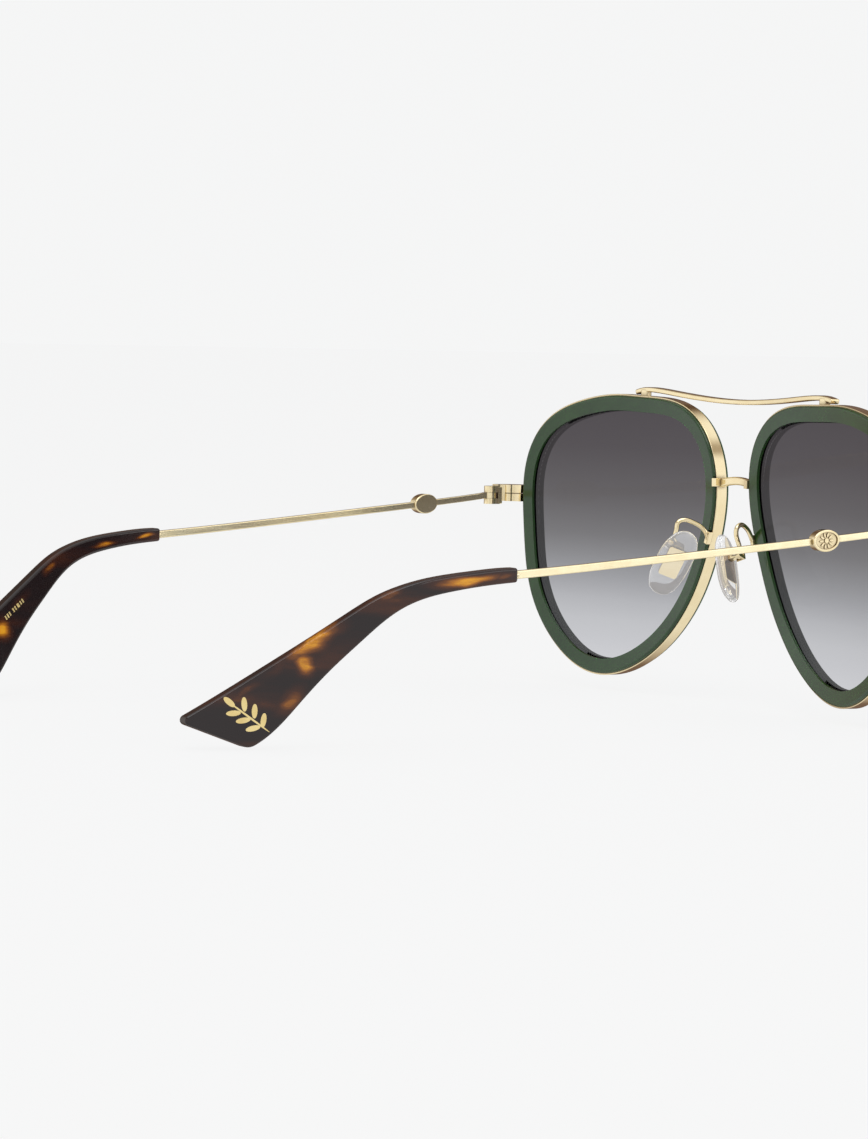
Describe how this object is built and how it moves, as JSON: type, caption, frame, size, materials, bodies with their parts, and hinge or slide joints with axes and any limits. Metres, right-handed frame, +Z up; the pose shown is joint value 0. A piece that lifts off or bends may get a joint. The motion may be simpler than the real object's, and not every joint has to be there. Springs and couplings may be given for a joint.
{
  "type": "aviator sunglasses",
  "caption": "Aviator sunglasses with green acetate rings in gold metal rims, a brow bar, gradient lenses, rocking nose pads and folding temples with flared tortoiseshell tips.",
  "frame": {"origin": "on the plane of symmetry, midway between the two lens centres", "axes": "+X towards the wearer's left, +Y back along the open temples, +Z up; the front faces -Y"},
  "size_m": [0.1464, 0.1524, 0.0615],
  "materials": {
    "green_acetate": "polished",
    "tinted_lens": "polished gradient tint",
    "clear_pad": "soft clear",
    "tortoise_acetate": "polished tortoiseshell",
    "gold_foil": "foil",
    "steel_screw": "machined",
    "gold_metal": "polished"
  },
  "bodies": {
    "front": {"bridge": "gold_metal", "brow_bar": "gold_metal", "brow_post_left": "gold_metal", "brow_post_right": "gold_metal", "end_piece_left": "gold_metal", "end_piece_right": "gold_metal", "hinge_screw_left": "steel_screw", "hinge_screw_right": "steel_screw", "lens_left": "tinted_lens", "lens_right": "tinted_lens", "pad_arm_left": "gold_metal", "pad_arm_right": "gold_metal", "pad_screw_left": "steel_screw", "pad_screw_right": "steel_screw", "rim_left": "gold_metal", "rim_lock_left": "gold_metal", "rim_lock_right": "gold_metal", "rim_right": "gold_metal", "rim_screw_left": "steel_screw", "rim_screw_right": "steel_screw", "ring_left": "green_acetate", "ring_right": "green_acetate"},
    "pad_left_body": {"nose_pad_left": "clear_pad", "pad_core_left": "gold_metal"},
    "pad_right_body": {"nose_pad_right": "clear_pad", "pad_core_right": "gold_metal"},
    "temple_left_body": {"medallion_left": "gold_metal", "size_mark_left": "gold_foil", "temple_arm_left": "gold_metal", "temple_tip_left": "tortoise_acetate", "tip_inlay_left": "gold_foil"},
    "temple_right_body": {"medallion_right": "gold_metal", "temple_arm_right": "gold_metal", "temple_tip_right": "tortoise_acetate", "tip_inlay_right": "gold_foil"}
  },
  "joints": [
    {"name": "temple_left_hinge", "type": "hinge", "parent": "front", "child": "temple_left_body", "pos_m": [0.07188, 0.0108, 0.00658], "axis": [0, 0, 1], "range_deg": [0, 80]},
    {"name": "temple_right_hinge", "type": "hinge", "parent": "front", "child": "temple_right_body", "pos_m": [-0.07188, 0.0108, 0.00658], "axis": [0, 0, -1], "range_deg": [0, 74]},
    {"name": "pad_left_rock", "type": "hinge", "parent": "front", "child": "pad_left_body", "pos_m": [0.01077, 0.00472, -0.00117], "axis": [0.3507, 0.8724, 0.3404], "range_deg": [-8, 8]},
    {"name": "pad_right_rock", "type": "hinge", "parent": "front", "child": "pad_right_body", "pos_m": [-0.01077, 0.00472, -0.00117], "axis": [-0.3507, 0.8724, 0.3404], "range_deg": [-8, 8]}
  ]
}
